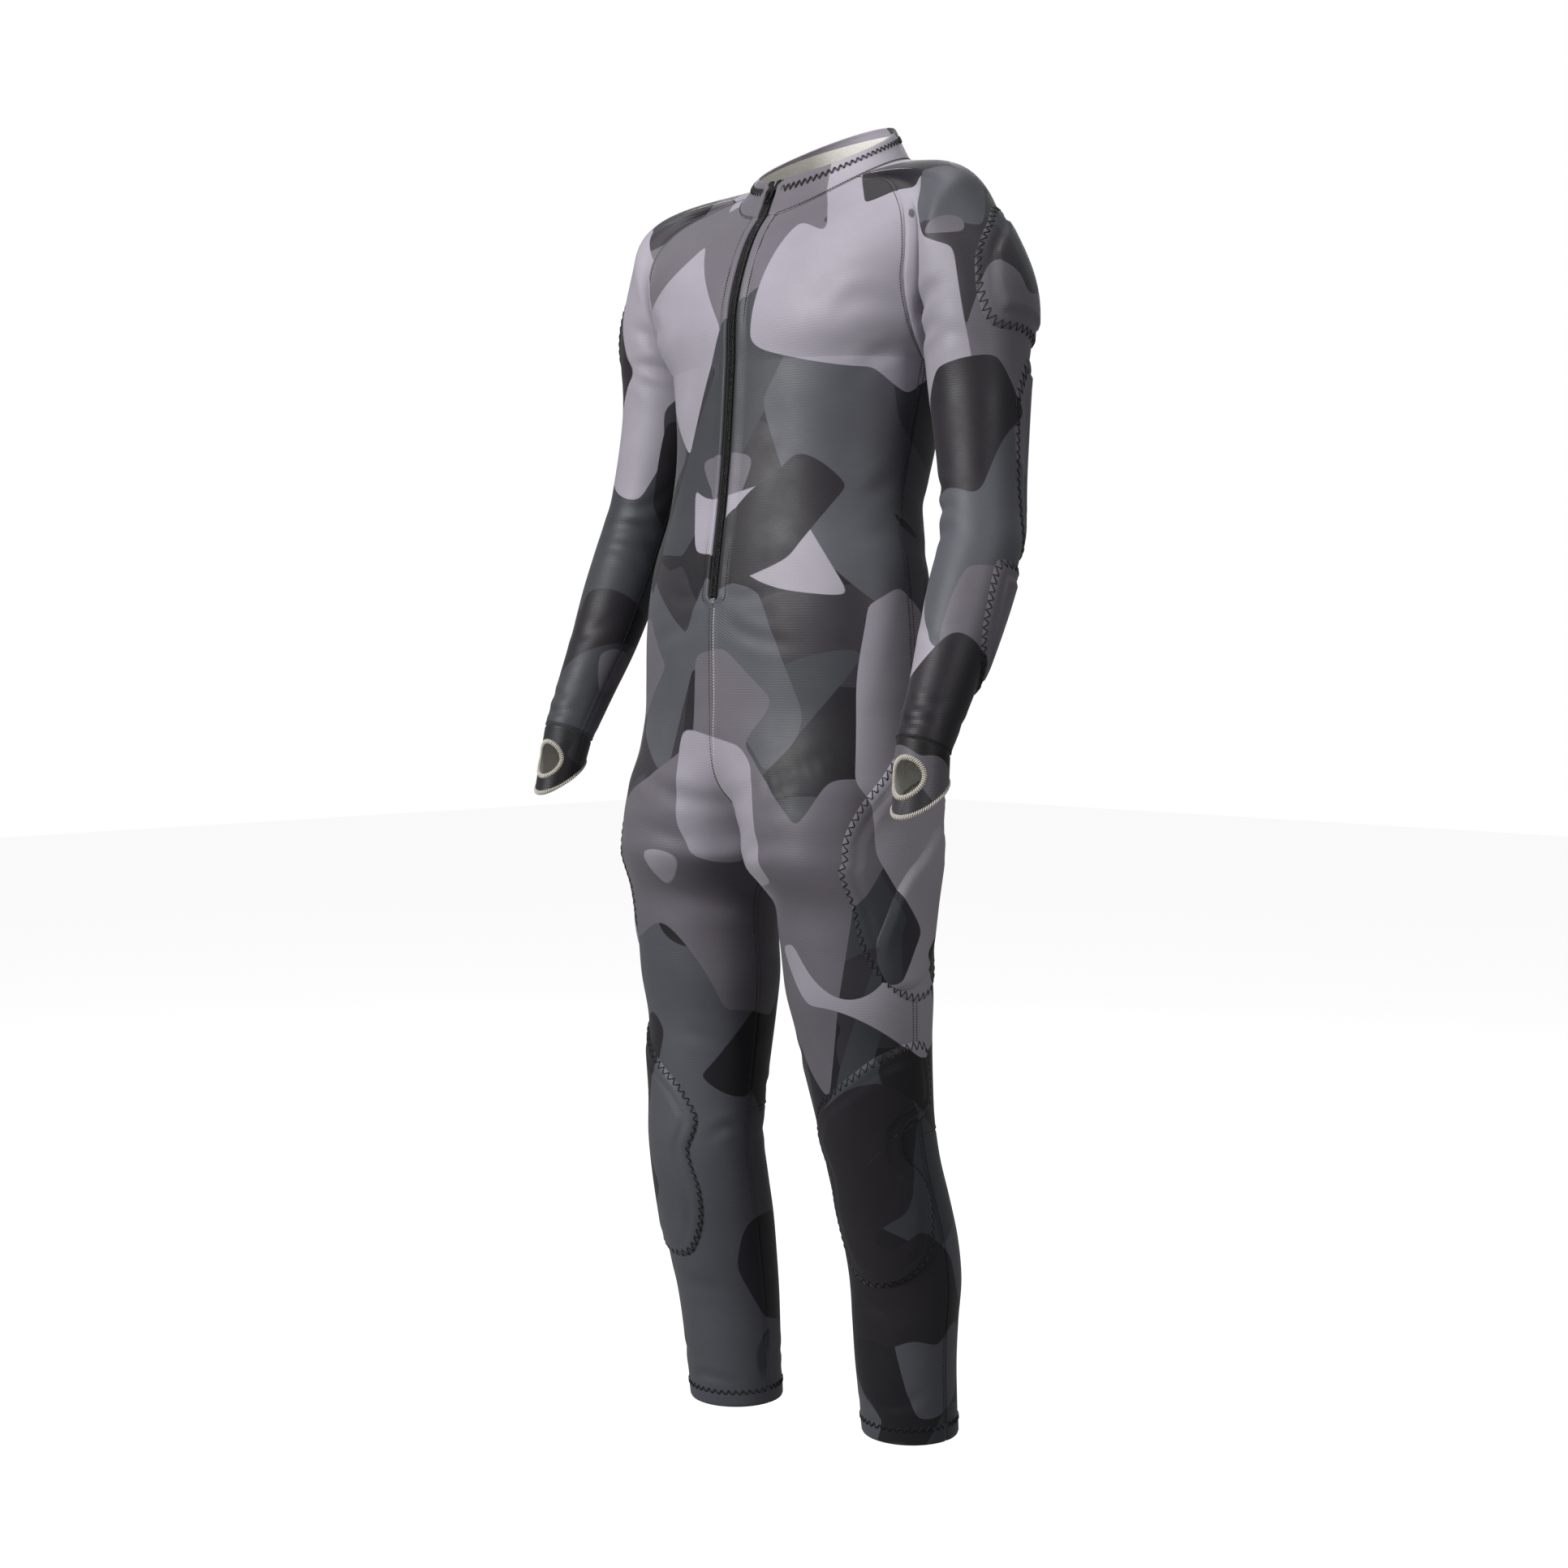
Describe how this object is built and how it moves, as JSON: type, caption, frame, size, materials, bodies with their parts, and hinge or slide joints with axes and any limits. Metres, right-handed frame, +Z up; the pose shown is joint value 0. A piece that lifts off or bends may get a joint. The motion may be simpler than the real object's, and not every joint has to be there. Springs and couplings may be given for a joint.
{
  "type": "ski race suit",
  "caption": "One-piece ski race suit as worn, with stand collar, front zip, thumb-hole cuffs and pads on shoulders, arms, hips and knees.",
  "frame": {"origin": "on the neck axis at the base of the collar, between the shoulders, where a wearer or hanger holds the suit", "axes": "+Z up along the suit from the legs to the collar, -Y to the wearer's front, +X to the wearer's left"},
  "size_m": [0.5828, 0.2804, 1.3361],
  "materials": {
    "printed_cloth": null,
    "dark_cloth": "dark knit cloth",
    "pad_cloth": "padded printed cloth",
    "zip_tape": "black coil zip tape",
    "zip_metal": "black coated",
    "pale_thread": "pale overlock thread"
  },
  "bodies": {
    "root": {"back_left": "printed_cloth", "back_right": "printed_cloth", "calf_left": "printed_cloth", "calf_right": "printed_cloth", "collar": "printed_cloth", "cuff_left": "dark_cloth", "cuff_right": "dark_cloth", "elbow_pad_left": "pad_cloth", "elbow_pad_right": "pad_cloth", "forearm_pad_left": "pad_cloth", "forearm_pad_right": "pad_cloth", "front_left": "printed_cloth", "front_right": "printed_cloth", "hand_binding_left": "pale_thread", "hand_binding_right": "pale_thread", "hip_fin_left": "pad_cloth", "hip_fin_right": "pad_cloth", "hip_pad_left": "pad_cloth", "hip_pad_right": "pad_cloth", "knee_pad_left": "pad_cloth", "knee_pad_right": "pad_cloth", "shoulder_pad_left": "pad_cloth", "shoulder_pad_right": "pad_cloth", "sleeve_left": "printed_cloth", "sleeve_right": "printed_cloth", "thumb_binding_left": "pale_thread", "thumb_binding_right": "pale_thread", "zip_slider": "zip_metal", "zip_stop": "zip_metal", "zip_tape": "zip_tape"}
  },
  "joints": []
}
